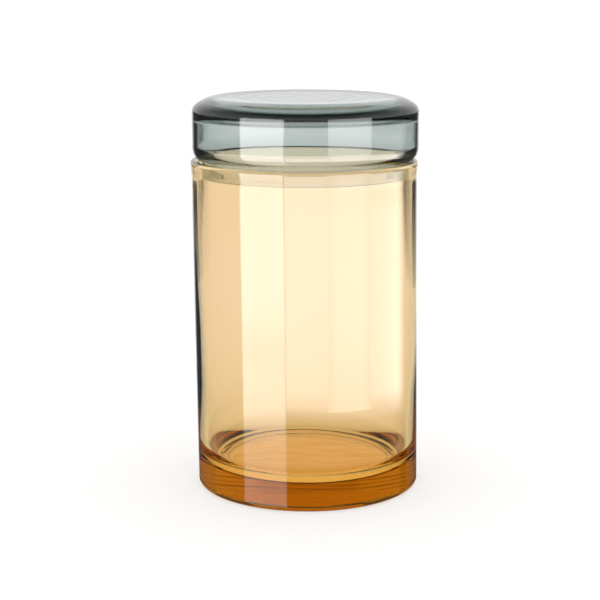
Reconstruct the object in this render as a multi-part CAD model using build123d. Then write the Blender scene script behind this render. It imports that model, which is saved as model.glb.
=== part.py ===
from build123d import *
import math
import os

# Glass apothecary jar with a lift-off glass lid. Millimetres, +Z up.
# The origin is the centre of the circle that the jar stands on.

# ---- Jar: driving dimensions ----
jar_diameter = 120.0        # straight cylindrical wall, outside
jar_height = 177.0          # standing surface to the crest of the rim
jar_wall = 2.5
floor_thickness = 13.0      # heavy foot of solid glass
floor_fillet = 11.0         # inside, where the wall runs into the floor
base_corner = 3.0           # outside, where the wall runs into the underside
foot_ring_width = 12.0      # flat ring that the jar stands on
base_recess_depth = 1.0     # shallow hollow inside the foot ring
bead_radius = 2.1           # fire-polished rim, outside half
bead_proud = 0.6            # how far the rim stands out past the wall
bead_blend = 6.0            # hollow curve that leads from the wall into the bead
rim_inset = 1.0             # how far the thickened rim stands in past the bore
rim_lip_height = 4.0        # the thickened rim inside, from the crest down
rim_lip_blend = 3.0         # height in which it runs out into the bore
rim_inner_round = 0.6       # inside edge of the rim

# ---- Lid: driving dimensions ----
lid_inset = 0.0             # how far the lid's wall stands back from the jar's
lid_rise = 33.0             # crest of the jar's rim to the top of the lid
lid_wall = 2.2
lid_slab = 3.5              # glass over the hollow, at the rim of the top dish
lid_dish_depth = 0.6        # the top face sinks by this much at its centre
lid_edge_run = 19.0         # rounded top edge, measured inwards
lid_edge_drop = 8.3         # rounded top edge, measured downwards
hollow_edge_drop = 7.4      # the same edge inside the lid, measured downwards
lid_shoulder = 3.2          # glass over the seat
seat_corner = 2.2           # outside edge of the lid, above the rim
shoulder_fillet = 2.6       # inside, where the shoulder runs into the lid's wall
neck_round = 1.6            # inside, where the plug runs into the shoulder

# ---- Lid: the plug that stands in the mouth ----
plug_clearance = 1.5        # gap all round between the plug and the rim
plug_depth = 8.0            # how far the plug reaches below the rim
plug_wall = 2.2
plug_edge_round = 0.8       # both lower edges of the plug

# ---- Sizes that follow ----
jar_radius = jar_diameter / 2
bore_radius = jar_radius - jar_wall
mouth_radius = bore_radius - rim_inset
bead_centre_radius = jar_radius + bead_proud - bead_radius
bead_centre_z = jar_height - bead_radius
seat_z = jar_height
lid_radius = jar_radius - lid_inset
hollow_radius = lid_radius - lid_wall
lid_top_z = seat_z + lid_rise
ceiling_z = lid_top_z - lid_slab
shoulder_z = seat_z + lid_shoulder
plug_radius = mouth_radius - plug_clearance
plug_inner_radius = plug_radius - plug_wall
plug_bottom_z = seat_z - plug_depth


def sphere_radius(edge_radius, depth):
    """Radius of the sphere that sinks by depth over a circle of edge_radius."""
    return (edge_radius**2 + depth**2) / (2 * depth)


def rim_bead():
    """Outline of the rim, from the wall up over the bead to the crest.

    A hollow arc leaves the wall upright and meets the round bead without a corner.
    Returns the height at which the hollow arc leaves the wall.
    """
    blend_centre_radius = jar_radius + bead_blend
    across = blend_centre_radius - bead_centre_radius
    between = bead_blend + bead_radius
    up = math.sqrt(between**2 - across**2)
    blend_z = bead_centre_z - up
    turn = math.degrees(math.atan2(up, across))
    CenterArc((blend_centre_radius, blend_z), bead_blend, 180, -turn)
    CenterArc((bead_centre_radius, bead_centre_z), bead_radius, -turn, 90 + turn)
    return blend_z


def jar_body():
    """Straight-sided jar: heavy floor, plain wall, beaded rim, open at the top."""
    ring_inner_radius = jar_radius - base_corner - foot_ring_width
    recess_sphere = sphere_radius(ring_inner_radius, base_recess_depth)
    crest_inner_radius = mouth_radius + rim_inner_round
    lip_bottom_z = jar_height - rim_lip_height
    with BuildPart() as jar:
        with BuildSketch(Plane.XZ):
            with BuildLine():
                RadiusArc((0, base_recess_depth), (ring_inner_radius, 0), recess_sphere)
                Line((ring_inner_radius, 0), (jar_radius - base_corner, 0))
                CenterArc((jar_radius - base_corner, base_corner), base_corner, -90, 90)
                blend_z = rim_bead()
                Line((jar_radius, base_corner), (jar_radius, blend_z))
                Line((bead_centre_radius, jar_height), (crest_inner_radius, jar_height))
                CenterArc((crest_inner_radius, jar_height - rim_inner_round), rim_inner_round, 90, 90)
                Polyline(
                    (mouth_radius, jar_height - rim_inner_round),
                    (mouth_radius, lip_bottom_z),
                    (bore_radius, lip_bottom_z - rim_lip_blend),
                    (bore_radius, floor_thickness + floor_fillet),
                )
                CenterArc(
                    (bore_radius - floor_fillet, floor_thickness + floor_fillet),
                    floor_fillet, 0, -90,
                )
                Polyline(
                    (bore_radius - floor_fillet, floor_thickness),
                    (0, floor_thickness),
                    (0, base_recess_depth),
                )
            make_face()
        revolve(axis=Axis.Z)
    return jar.part


def lid():
    """Hollow drum, closed by a thick top and open below through its own plug."""
    top_flat_radius = lid_radius - lid_edge_run
    top_sphere = sphere_radius(top_flat_radius, lid_dish_depth)
    edge_z = lid_top_z - lid_edge_drop
    hollow_edge_z = ceiling_z - hollow_edge_drop
    plug_round_z = plug_bottom_z + plug_edge_round
    with BuildPart() as drum:
        with BuildSketch(Plane.XZ):
            with BuildLine():
                # Outside, from the middle of the top down to the seat.
                RadiusArc((0, lid_top_z - lid_dish_depth), (top_flat_radius, lid_top_z), -top_sphere)
                EllipticalCenterArc(
                    (top_flat_radius, edge_z), lid_edge_run, lid_edge_drop,
                    start_angle=0, arc_size=90,
                )
                Line((lid_radius, edge_z), (lid_radius, seat_z + seat_corner))
                CenterArc((lid_radius - seat_corner, seat_z + seat_corner), seat_corner, 0, -90)
                # The flat seat and the outside of the plug.
                Polyline(
                    (lid_radius - seat_corner, seat_z),
                    (plug_radius, seat_z),
                    (plug_radius, plug_round_z),
                )
                CenterArc((plug_radius - plug_edge_round, plug_round_z), plug_edge_round, 0, -90)
                Line(
                    (plug_radius - plug_edge_round, plug_bottom_z),
                    (plug_inner_radius + plug_edge_round, plug_bottom_z),
                )
                CenterArc(
                    (plug_inner_radius + plug_edge_round, plug_round_z),
                    plug_edge_round, -90, -90,
                )
                # Inside, up the plug, over the shoulder and up to the ceiling.
                Line((plug_inner_radius, plug_round_z), (plug_inner_radius, shoulder_z - neck_round))
                CenterArc((plug_inner_radius + neck_round, shoulder_z - neck_round), neck_round, 180, -90)
                Line(
                    (plug_inner_radius + neck_round, shoulder_z),
                    (hollow_radius - shoulder_fillet, shoulder_z),
                )
                CenterArc(
                    (hollow_radius - shoulder_fillet, shoulder_z + shoulder_fillet),
                    shoulder_fillet, -90, 90,
                )
                Line((hollow_radius, shoulder_z + shoulder_fillet), (hollow_radius, hollow_edge_z))
                EllipticalCenterArc(
                    (top_flat_radius, hollow_edge_z),
                    hollow_radius - top_flat_radius, hollow_edge_drop,
                    start_angle=0, arc_size=90,
                )
                Polyline(
                    (top_flat_radius, ceiling_z),
                    (0, ceiling_z),
                    (0, lid_top_z - lid_dish_depth),
                )
            make_face()
        revolve(axis=Axis.Z)
    return drum.part


os.makedirs("parts", exist_ok=True)
for make in (jar_body, lid):
    export_step(make(), f"parts/{make.__name__}.step")
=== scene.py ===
"""Glass apothecary jar with a lift-off lid. Metres, +Z up, the jar stands on z = 0."""

import bpy
import numpy as np
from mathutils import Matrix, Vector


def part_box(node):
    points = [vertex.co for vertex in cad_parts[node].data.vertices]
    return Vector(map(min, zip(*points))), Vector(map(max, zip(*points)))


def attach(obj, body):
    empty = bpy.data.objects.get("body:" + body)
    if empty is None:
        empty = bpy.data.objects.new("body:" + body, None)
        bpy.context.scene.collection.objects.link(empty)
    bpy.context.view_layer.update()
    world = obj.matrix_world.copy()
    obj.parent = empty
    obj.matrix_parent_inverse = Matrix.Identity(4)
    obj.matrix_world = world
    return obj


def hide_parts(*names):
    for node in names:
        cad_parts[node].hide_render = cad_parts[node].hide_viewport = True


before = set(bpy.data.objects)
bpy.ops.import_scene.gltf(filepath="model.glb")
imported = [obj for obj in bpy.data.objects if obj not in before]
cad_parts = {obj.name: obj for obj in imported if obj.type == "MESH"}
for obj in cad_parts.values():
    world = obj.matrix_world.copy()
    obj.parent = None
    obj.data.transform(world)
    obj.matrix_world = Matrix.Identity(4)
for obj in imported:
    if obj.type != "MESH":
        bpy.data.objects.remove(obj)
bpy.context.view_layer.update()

# ---------------------------------------------------------------------------------------
# Jar body. One piece of pale amber glass, blown into a straight cylinder: a heavy foot,
# a plain wall and a rim that was melted back into a round bead. Nothing is fixed to it.
# ---------------------------------------------------------------------------------------
MM = 0.001
jar_low, jar_high = (np.array(c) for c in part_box("jar_body"))
rim_radius = (jar_high[0] - jar_low[0]) / 2
rim_z = jar_high[2]
bead_proud = 0.6 * MM
bead_width = 3.6 * MM
bead_depth = 3.2 * MM
bead_fade = 4.8 * MM
wall_radius = rim_radius - bead_proud
wall_thickness = 2.4 * MM
bore_radius = wall_radius - wall_thickness
plain_bore_top_z = 145 * MM
plain_bore_bottom_z = 82 * MM
wall_gain_at_floor = 3.2 * MM
floor_z = 12.6 * MM
foot_round = 3 * MM
foot_hollow = 0.35 * MM
foot_hollow_radius = 46.6 * MM
foot_hollow_edge = 0.4 * MM
streaks_to = 44 * MM
floor_streaks = 0.030 * MM
underside_streaks = 0.020 * MM
jar_lean = 1.0 * MM


def rounded_outline(corners, steps=14, longest=2.0 * MM):
    """Section of a turned piece, as rows of radius and height.

    A corner is (radius, height, before, after). Its rounding is the quarter of an ellipse that
    touches both sides, at those distances before and after the corner: for t from 0 to 90 degrees,
    corner - before (1 - sin t) incoming + after (1 - cos t) outgoing. Long runs are divided evenly.
    """
    corners = np.asarray(corners, dtype=float)
    place = corners[:, :2]
    run = np.diff(place, axis=0)
    unit = run / np.linalg.norm(run, axis=1, keepdims=True)
    t = np.linspace(0, np.pi / 2, steps)[None, :, None]
    before = corners[1:-1, 2, None, None] * (1 - np.sin(t)) * unit[:-1, None]
    after = corners[1:-1, 3, None, None] * (1 - np.cos(t)) * unit[1:, None]
    arcs = (place[1:-1, None] - before + after).reshape(-1, 2)
    points = np.concatenate([place[:1], arcs, place[-1:]])
    length = np.linalg.norm(np.diff(points, axis=0), axis=1)
    along = np.concatenate([[0.0], np.cumsum(length)])
    parts = np.maximum(np.ceil(length / longest), 1).astype(int)
    index = np.repeat(np.arange(len(parts)), parts)
    turn = np.arange(parts.sum()) - np.repeat(np.cumsum(parts) - parts, parts)
    at = np.append(along[index] + turn * length[index] / parts[index], along[-1])
    at = np.unique(np.round(at, 7))
    return np.column_stack([np.interp(at, along, points[:, i]) for i in (0, 1)])


def turned_piece(name, outline, drift, inside_first=False, around=288):
    """Closed piece turned about the Z axis, with its outline's two ends on the axis.

    Ring i, step j: x = (r_i + dr) cos a + dx, y = (r_i + dr) sin a + dy, z = z_i + dz, where
    a = 2 pi j / around, and drift(r, z, a, inside) gives dr, dx, dy and dz of the hand-made shape.
    The outline turns from the outside to the inside at its far end, or the other way round.
    """
    radius, height = outline[1:-1, 0], outline[1:-1, 1]
    rings = len(radius)
    turning = np.argmax(np.abs(outline[:, 1] - outline[0, 1]))
    past = (np.arange(1, rings + 1) - turning) * (-1 if inside_first else 1)
    rings_to_turn = 12
    inside = np.clip(past / rings_to_turn, 0, 1)[:, None]
    a = np.arange(around)[None, :] * 2 * np.pi / around
    r = radius[:, None] + 0 * a
    z = height[:, None] + 0 * a
    dr, dx, dy, dz = drift(r, z, a, inside)
    grid = np.stack([(r + dr) * np.cos(a) + dx, (r + dr) * np.sin(a) + dy, z + dz], axis=-1)
    poles = np.stack([grid[0].mean(axis=0), grid[-1].mean(axis=0)])
    poles[0, 2] += outline[0, 1] - outline[1, 1]
    poles[1, 2] += outline[-1, 1] - outline[-2, 1]
    points = np.concatenate([grid.reshape(-1, 3), poles])
    i, j = np.meshgrid(np.arange(rings - 1), np.arange(around), indexing="ij")
    k = (j + 1) % around
    quads = np.stack([i * around + j, i * around + k, (i + 1) * around + k, (i + 1) * around + j], axis=-1)
    j = np.arange(around)
    k = (j + 1) % around
    first = np.stack([np.full(around, rings * around), k, j], axis=-1)
    inner_ring = (rings - 1) * around
    last = np.stack([inner_ring + j, inner_ring + k, np.full(around, rings * around + 1)], axis=-1)
    mesh = bpy.data.meshes.new(name)
    mesh.vertices.add(len(points))
    mesh.vertices.foreach_set("co", points.ravel())
    corners = np.concatenate([quads.ravel(), first.ravel(), last.ravel()])
    totals = np.concatenate([np.full(quads.shape[0] * quads.shape[1], 4), np.full(2 * around, 3)])
    mesh.loops.add(len(corners))
    mesh.loops.foreach_set("vertex_index", corners)
    mesh.polygons.add(len(totals))
    mesh.polygons.foreach_set("loop_start", np.cumsum(totals) - totals)
    mesh.polygons.foreach_set("loop_total", totals)
    mesh.polygons.foreach_set("use_smooth", np.ones(len(totals), dtype=bool))
    mesh.update(calc_edges=True)
    mesh.validate()
    piece = bpy.data.objects.new(name, mesh)
    bpy.context.scene.collection.objects.link(piece)
    return piece


def jar_drift(r, z, a, inside):
    """The blown wall is a little out of true: it leans, its thickness wanders, its floor has streaks.

    Wander: sines of 2a and 3a that turn with height. Lean: jar_lean (1 - 2 z / rim_z) along x.
    Streaks: sines of y, bent by sines of x, raise and sink the floor and the underside.
    """
    up = z / rim_z
    side = np.clip(r / wall_radius, 0, 1) ** 4
    outer = 0.10 * MM * np.sin(2 * a + 0.7 + 3 * up) + 0.05 * MM * np.sin(3 * a + 2.0 - 5 * up)
    inner = 0.25 * MM * np.sin(2 * a + 2.4 - 4 * up) + 0.15 * MM * np.sin(3 * a - 1.0 + 7 * up)
    dr = side * (outer * (1 - inside) + inner * inside)
    dx = jar_lean * (1 - 2 * up)
    x, y = r * np.cos(a) / MM, r * np.sin(a) / MM
    under_foot = np.clip(1 - (z - foot_hollow) / floor_z, 0, 1) * (1 - inside)
    on_floor = np.clip(2 - z / floor_z, 0, 1) * inside
    foot = under_foot + on_floor
    streaks = np.sin(y / 1.7 + 1.6 * np.sin(x / 9.0) + 0.7)
    streaks = streaks + 0.7 * np.sin(y / 2.9 + 1.1 * np.sin(x / 6.0 + 2.0))
    middle = 1 - np.clip(r / streaks_to, 0, 1) ** 8
    dz = foot * middle * streaks * (floor_streaks * inside + underside_streaks * (1 - inside))
    return dr, dx, 0 * r, dz


jar_outline = rounded_outline([
    (0, foot_hollow, 0, 0),
    (foot_hollow_radius, foot_hollow, 0.3 * MM, 0.2 * MM),
    (foot_hollow_radius + foot_hollow_edge, 0, 0.2 * MM, 0.3 * MM),
    (wall_radius, 0, foot_round, foot_round),
    (wall_radius, rim_z - bead_depth - bead_fade, 3.0 * MM, 2.5 * MM),
    (rim_radius, rim_z - bead_depth, 2.0 * MM, 1.2 * MM),
    (rim_radius, rim_z, 1.8 * MM, 2.1 * MM),
    (rim_radius - bead_width, rim_z, 1.3 * MM, 1.4 * MM),
    (bore_radius, plain_bore_top_z, 15 * MM, 15 * MM),
    (bore_radius, plain_bore_bottom_z, 30 * MM, 25 * MM),
    (bore_radius - wall_gain_at_floor, floor_z, 12 * MM, 11 * MM),
    (0, floor_z, 0, 0),
])
jar = turned_piece("blown_jar", jar_outline, jar_drift)


def glass(name, tint, absorbs, ripple_size=30 * MM, ripple_depth=0.05 * MM):
    """Polished glass, with a coloured skin and more colour in its depth.

    tint is what light keeps on its way in and out through the skin, and absorbs is what a metre
    of the glass takes of red, green and blue, as exp(-absorbs * metres).
    The surface keeps the long soft ripple of hand work as a bump of ripple_depth metres.
    """
    material = bpy.data.materials.new(name)
    material.use_nodes = True
    nodes, links = material.node_tree.nodes, material.node_tree.links
    surface = nodes["Principled BSDF"]
    surface.inputs["Base Color"].default_value = (*tint, 1)
    surface.inputs["Roughness"].default_value = 0.0
    surface.inputs["IOR"].default_value = 1.5
    surface.inputs["Transmission Weight"].default_value = 1.0
    absorbs = np.array(absorbs, dtype=float)
    depth = nodes.new("ShaderNodeVolumeAbsorption")
    depth.inputs["Density"].default_value = absorbs.max()
    depth.inputs["Color"].default_value = (*(1 - absorbs / absorbs.max()), 1)
    links.new(depth.outputs["Volume"], nodes["Material Output"].inputs["Volume"])
    place = nodes.new("ShaderNodeTexCoord")
    ripple = nodes.new("ShaderNodeTexNoise")
    ripple.inputs["Scale"].default_value = 1 / ripple_size
    ripple.inputs["Detail"].default_value = 1.0
    links.new(place.outputs["Object"], ripple.inputs["Vector"])
    bump = nodes.new("ShaderNodeBump")
    bump.inputs["Strength"].default_value = 1.0
    bump.inputs["Distance"].default_value = ripple_depth
    links.new(ripple.outputs["Fac"], bump.inputs["Height"])
    links.new(bump.outputs["Normal"], surface.inputs["Normal"])
    return material


amber_tint = (0.955, 0.835, 0.70)
amber_absorbs = (6, 16, 56)
jar.data.materials.append(glass("amber_glass", amber_tint, amber_absorbs))
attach(jar, "jar")
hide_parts("jar_body")

# ---------------------------------------------------------------------------------------
# Lid. One piece of smoke-grey glass: a hollow drum with a thick, slightly sunken top and a
# broad rounded edge, drawn in below to a plug that stands loosely in the jar's mouth.
# ---------------------------------------------------------------------------------------
lid_low, lid_high = (np.array(c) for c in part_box("lid"))
lid_radius = (lid_high[0] - lid_low[0]) / 2
top_z = lid_high[2]
plug_bottom_z = lid_low[2]
seat_z = rim_z
lid_hollow_radius = lid_radius - 2.0 * MM
plug_radius = lid_radius - 5.2 * MM
plug_hollow_radius = plug_radius - 2.1 * MM
plug_lip_round = 0.5 * MM
neck_width = 3.3 * MM
neck_z = seat_z - 0.1 * MM
shoulder_z = seat_z + 3.2 * MM
inner_shoulder_z = seat_z + 5.3 * MM
edge_drop = 5.2 * MM
edge_run = 7.5 * MM
slab = 2.4 * MM
ceiling_radius = 48.4 * MM
cove_radius = 52.8 * MM
cove_drop = 6.2 * MM
ceiling_edge_drop = 8.2 * MM
dish = -0.35 * MM
dish_from, dish_to = 34 * MM, 50 * MM
lid_lean = -0.3 * MM


def lid_drift(r, z, a, inside):
    """The top is a shallow dish with the faint rings of its turning; the wall is nearly true.

    The dish sinks by smoothstep from dish_to in to dish_from. The rings are sines of the radius,
    bent by the angle into swirls, and only the outer face has them. The wall wanders by sines of a.
    """
    top = np.clip((z - (top_z - slab - 2 * MM)) / (2 * MM), 0, 1)
    rise = np.clip((r - dish_from) / (dish_to - dish_from), 0, 1)
    flat = 1 - rise * rise * (3 - 2 * rise)
    swirls = 0.024 * MM * np.sin(r / (1.5 * MM) + 1.5 * np.sin(a + 0.6))
    fine_rings = 0.008 * MM * np.sin(r / (0.8 * MM) - a)
    rings = (swirls + fine_rings) * (1 - inside)
    dr = 0.08 * MM * np.sin(2 * a + 1.9) + 0.18 * MM * inside * np.sin(3 * a + 40 * z)
    dr = dr * np.clip(r / lid_radius, 0, 1) ** 4
    return dr, 0 * r + lid_lean, 0 * r, top * flat * (dish + rings)


lid_outline = rounded_outline([
    (0, top_z - slab, 0, 0),
    (ceiling_radius, top_z - slab, 6.0 * MM, 2.6 * MM),
    (cove_radius, top_z - cove_drop, 1.2 * MM, 1.2 * MM),
    (lid_hollow_radius, top_z - ceiling_edge_drop, 3.2 * MM, 4.0 * MM),
    (lid_hollow_radius, inner_shoulder_z, 3 * MM, 3 * MM),
    (plug_hollow_radius, seat_z, 0.5 * MM, 0.5 * MM),
    (plug_hollow_radius, plug_bottom_z, plug_lip_round, plug_lip_round),
    (plug_radius, plug_bottom_z, plug_lip_round, plug_lip_round),
    (plug_radius, neck_z, 0.4 * MM, 0.4 * MM),
    (lid_radius - neck_width, neck_z, 0.6 * MM, 0.8 * MM),
    (lid_radius, shoulder_z, 2.6 * MM, 3.6 * MM),
    (lid_radius, top_z - edge_drop, 2.4 * MM, 2.4 * MM),
    (lid_radius - edge_run, top_z, 4.5 * MM, 5 * MM),
    (0, top_z, 0, 0),
], longest=0.8 * MM)
lid = turned_piece("blown_lid", lid_outline, lid_drift, inside_first=True)
clear_tint = (1, 1, 1)
smoke_absorbs = (170, 143, 152)
lid.data.materials.append(glass("smoke_glass", clear_tint, smoke_absorbs))
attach(lid, "lid")
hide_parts("lid")

# ---------------------------------------------------------------------------------------
# Table and studio. A plain white table in pale surroundings. In front stand two soft lamps and
# a broad low wall of light, seen only as shine on the glass. Behind the jar stand two dark
# cards, seen only through the glass, which draw its outline.
# ---------------------------------------------------------------------------------------
table_size = 12.0
table_drop = 0.2 * MM
table_grey = (0.5, 0.5, 0.5)
table_glow = 0.95
pad_radius = 57 * MM
pad_rise = 0.1 * MM
# Colour and strength of the painted pool of amber light on the table under the foot.
painted_pool_colour = (1, 0.85, 0.6)
painted_pool_glow = 0.6
surround_glow = 1.1778
behind_from, behind_to = 0.895, 0.945
shine_below = 0.10


def plain_plane(name, corners, colour, strength):
    """Flat matt panel through its corners, which also glows evenly by strength times its colour."""
    mesh = bpy.data.meshes.new(name)
    mesh.from_pydata([tuple(c) for c in corners], [], [tuple(range(len(corners)))])
    panel = bpy.data.objects.new(name, mesh)
    bpy.context.scene.collection.objects.link(panel)
    material = bpy.data.materials.new(name)
    material.use_nodes = True
    nodes, links = material.node_tree.nodes, material.node_tree.links
    nodes.remove(nodes["Principled BSDF"])
    matt = nodes.new("ShaderNodeBsdfDiffuse")
    matt.inputs["Color"].default_value = (*colour, 1)
    glow = nodes.new("ShaderNodeEmission")
    glow.inputs["Color"].default_value = (*colour, 1)
    glow.inputs["Strength"].default_value = strength
    both = nodes.new("ShaderNodeAddShader")
    links.new(matt.outputs[0], both.inputs[0])
    links.new(glow.outputs[0], both.inputs[1])
    links.new(both.outputs[0], nodes["Material Output"].inputs["Surface"])
    mesh.materials.append(material)
    return panel


reach = table_size / 2
table_corners = [
    (-reach, -reach, -table_drop),
    (reach, -reach, -table_drop),
    (reach, reach, -table_drop),
    (-reach, reach, -table_drop),
]
table = plain_plane("table", table_corners, table_grey, table_glow)
# The glass doesn't mirror the table. Where the table would be, it mirrors the lower parts of the lamps,
# which reach below the table: a painted reflection of the lamps in the table.
table.visible_glossy = False

# A painted pool of light: a glowing amber disc on the table under the foot stands in for the light that
# reaches the table through the glass and comes back up through the foot. Only what passes through glass
# sees it.
turn = np.linspace(0, 2 * np.pi, 96, endpoint=False)
pad_x, pad_y = pad_radius * np.cos(turn), pad_radius * np.sin(turn)
pad_rim = np.column_stack([pad_x, pad_y, 0 * turn - table_drop + pad_rise])
pad = plain_plane("painted_light_pool", pad_rim, painted_pool_colour, painted_pool_glow)
pad.visible_camera = False
pad.visible_diffuse = False
pad.visible_glossy = False
pad.visible_shadow = False


def curved_card(name, lamp, start, end, radius, heights, glows, side_glow, soft):
    """Upright card bent round the jar from azimuth start to end, in degrees from the +Y side.

    Its glow follows heights and glows up the card, and passes to side_glow over the last soft
    degrees at each side: side_glow + (glow - side_glow) * smoothstep(degrees from side / soft).
    A lamp is seen only as shine on the glass, and any other card only through the glass.
    """
    columns, rows = 61, 61
    turn = np.linspace(start, end, columns)
    a = np.radians(turn)
    h = np.linspace(heights[0], heights[-1], rows)
    inner = np.clip(np.minimum(turn - start, end - turn) / soft, 0, 1)
    inner = inner * inner * (3 - 2 * inner)
    glow = side_glow + (np.interp(h, heights, glows)[:, None] - side_glow) * inner[None, :]
    flat = np.stack([-np.sin(a), np.cos(a)], axis=-1) * radius
    points = np.empty((rows, columns, 3))
    points[:, :, :2] = flat[None]
    points[:, :, 2] = h[:, None]
    i, j = np.meshgrid(np.arange(rows - 1), np.arange(columns - 1), indexing="ij")
    at = i * columns + j
    faces = np.stack([at, at + 1, at + columns + 1, at + columns], axis=-1)
    mesh = bpy.data.meshes.new(name)
    mesh.from_pydata(points.reshape(-1, 3).tolist(), [], faces.reshape(-1, 4).tolist())
    mesh.attributes.new("glow", "FLOAT", "POINT").data.foreach_set("value", glow.ravel())
    card = bpy.data.objects.new(name, mesh)
    bpy.context.scene.collection.objects.link(card)
    material = bpy.data.materials.new(name)
    material.use_nodes = True
    nodes, links = material.node_tree.nodes, material.node_tree.links
    nodes.remove(nodes["Principled BSDF"])
    shader = nodes.new("ShaderNodeEmission")
    read = nodes.new("ShaderNodeAttribute")
    read.attribute_name = "glow"
    links.new(read.outputs["Fac"], shader.inputs["Strength"])
    links.new(shader.outputs[0], nodes["Material Output"].inputs["Surface"])
    mesh.materials.append(material)
    card.visible_camera = False
    card.visible_diffuse = False
    card.visible_shadow = False
    card.visible_glossy = lamp
    card.visible_transmission = not lamp
    return card


# Below the table, at negative heights, the lamps' glow is a painted reflection of the lamps in the table,
# seen in the lower part of the glass.
curved_card(
    "left_lamp", lamp=True, start=114, end=160.5, radius=0.65,
    heights=(-0.5, -0.14, -0.12, -0.09, -0.06, -0.03, 0.42),
    glows=(2.5, 2.5, 6, 7, 5.5, 7.5, 8.5), side_glow=1.0, soft=2,
)
curved_card(
    "right_lamp", lamp=True, start=201, end=246, radius=0.65,
    heights=(-0.11, -0.05, 0.0, 0.06, 0.10, 0.42),
    glows=(6.2, 6.6, 6.6, 6.2, 5.6, 5.6), side_glow=4.8, soft=10,
)
curved_card(
    "front_wall", lamp=True, start=120, end=300, radius=0.70,
    heights=(-0.5, -0.135, -0.11, 0.06, 0.09, 0.11, 0.128, 0.134, 0.26),
    glows=(0.05, 0.05, 6.0, 5.6, 4.0, 1.8, 1.8, 0, 0), side_glow=0, soft=20,
)
curved_card(
    "left_flag", lamp=False, start=16, end=41, radius=0.60,
    heights=(-0.03, 0.0, 0.03, 0.07, 0.10, 0.145, 0.165, 0.2),
    glows=(1, 0.8, 0.45, 0.2, 0.03, 0.03, 1, 1), side_glow=1, soft=3,
)
curved_card(
    "right_flag", lamp=False, start=-41, end=-16, radius=0.62,
    heights=(-0.03, 0.0, 0.03, 0.07, 0.10, 0.145, 0.165, 0.2),
    glows=(1, 0.85, 0.5, 0.25, 0.03, 0.03, 1, 1), side_glow=1, soft=3,
)

# Surroundings. The camera and the table see plain white. Glass sees a room that is bright near
# the horizon and dark overhead. Below the horizon, shine sees it well only straight behind.
world = bpy.data.worlds.new("studio")
bpy.context.scene.world = world
world.use_nodes = True
world.cycles.sampling_method = "NONE"
nodes, links = world.node_tree.nodes, world.node_tree.links
nodes.clear()
out = nodes.new("ShaderNodeOutputWorld")
path = nodes.new("ShaderNodeLightPath")
place = nodes.new("ShaderNodeTexCoord")
split = nodes.new("ShaderNodeSeparateXYZ")
links.new(place.outputs["Generated"], split.inputs["Vector"])


def room_ramp(bright_to, dark_from, dark):
    """White up to the height bright_to of the direction, then an eased fall to dark at dark_from."""
    ramp = nodes.new("ShaderNodeValToRGB")
    ramp.color_ramp.interpolation = "EASE"
    low, high = ramp.color_ramp.elements
    low.position, high.position = bright_to, dark_from
    low.color = (1, 1, 1, 1)
    high.color = (dark, dark, dark, 1)
    links.new(split.outputs["Z"], ramp.inputs["Fac"])
    return ramp


through_glass = room_ramp(bright_to=0.22, dark_from=0.5, dark=0.03)
on_glass = room_ramp(bright_to=0.35, dark_from=0.95, dark=0.05)
room = nodes.new("ShaderNodeMix")
room.data_type = "RGBA"
links.new(path.outputs["Is Transmission Ray"], room.inputs["Factor"])
links.new(on_glass.outputs["Color"], room.inputs["A"])
links.new(through_glass.outputs["Color"], room.inputs["B"])
above = nodes.new("ShaderNodeMath")
above.operation = "GREATER_THAN"
above.inputs[1].default_value = 0.0
links.new(split.outputs["Z"], above.inputs[0])
behind = nodes.new("ShaderNodeMapRange")
behind.interpolation_type = "SMOOTHSTEP"
behind.inputs["From Min"].default_value = behind_from
behind.inputs["From Max"].default_value = behind_to
behind.inputs["To Min"].default_value = shine_below
links.new(split.outputs["Y"], behind.inputs["Value"])
lit = nodes.new("ShaderNodeMath")
lit.operation = "MAXIMUM"
links.new(above.outputs[0], lit.inputs[0])
links.new(behind.outputs[0], lit.inputs[1])
room_glow = nodes.new("ShaderNodeMath")
room_glow.operation = "MAXIMUM"
links.new(path.outputs["Is Transmission Ray"], room_glow.inputs[0])
links.new(lit.outputs[0], room_glow.inputs[1])
seen_by_glass = nodes.new("ShaderNodeBackground")
links.new(room.outputs["Result"], seen_by_glass.inputs["Color"])
links.new(room_glow.outputs[0], seen_by_glass.inputs["Strength"])
plain_white = nodes.new("ShaderNodeBackground")
plain_white.inputs["Color"].default_value = (1, 1, 1, 1)
plain_white.inputs["Strength"].default_value = surround_glow
not_glass = nodes.new("ShaderNodeMath")
not_glass.operation = "MAXIMUM"
not_glass.use_clamp = True
links.new(path.outputs["Is Camera Ray"], not_glass.inputs[0])
links.new(path.outputs["Diffuse Depth"], not_glass.inputs[1])
mix = nodes.new("ShaderNodeMixShader")
links.new(not_glass.outputs[0], mix.inputs["Fac"])
links.new(seen_by_glass.outputs[0], mix.inputs[1])
links.new(plain_white.outputs[0], mix.inputs[2])
links.new(mix.outputs[0], out.inputs["Surface"])

# ---------------------------------------------------------------------------------------
# Camera. It stands in front of the jar and looks slightly down on it.
# ---------------------------------------------------------------------------------------
camera_distance = 0.869
camera_height = 0.280
camera_pitch = 0.204
lens = bpy.data.cameras.new("camera")
lens.sensor_width = 36
lens.lens = 98.4
lens.shift_x = -0.01
camera = bpy.data.objects.new("camera", lens)
camera.location = (0, -camera_distance, camera_height)
camera.rotation_euler = (np.pi / 2 - camera_pitch, 0, 0)
bpy.context.scene.collection.objects.link(camera)
scene = bpy.context.scene
scene.camera = camera
scene.view_settings.view_transform = "Standard"
scene.cycles.max_bounces = 24
scene.cycles.transmission_bounces = 24
scene.cycles.glossy_bounces = 12
scene.cycles.caustics_refractive = True
scene.cycles.caustics_reflective = True
